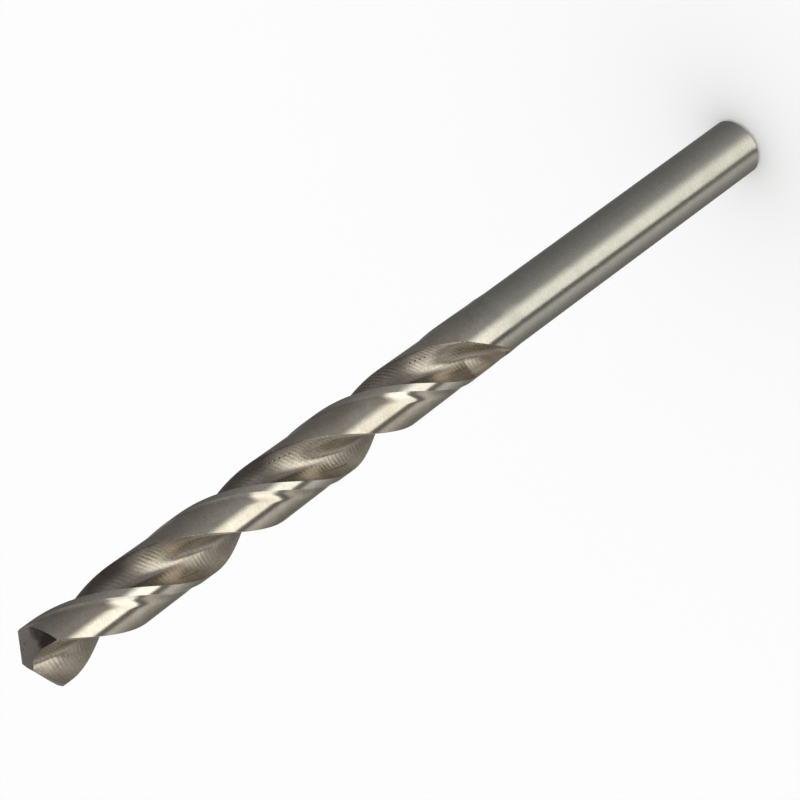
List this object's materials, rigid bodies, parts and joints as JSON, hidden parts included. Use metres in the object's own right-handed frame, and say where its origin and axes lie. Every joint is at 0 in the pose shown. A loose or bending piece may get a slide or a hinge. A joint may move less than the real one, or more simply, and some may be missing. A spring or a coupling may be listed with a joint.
{
  "type": "twist drill bit",
  "caption": "Twist drill bit with a plain round shank, right-hand helical flutes, narrow raised margins and a cone-ground point, for boring round holes.",
  "frame": {"origin": "centre of the shank's flat end face, on which the bit stands", "axes": "+Z along the bit from the shank's end to the point; X along the cutting lips, so that a lip's outer corner is near +X and the other near -X"},
  "size_m": [0.006, 0.006, 0.093],
  "materials": {
    "tool_steel": "satin ground bare tool steel"
  },
  "bodies": {
    "root": {"drill_bit": "tool_steel"}
  },
  "joints": []
}
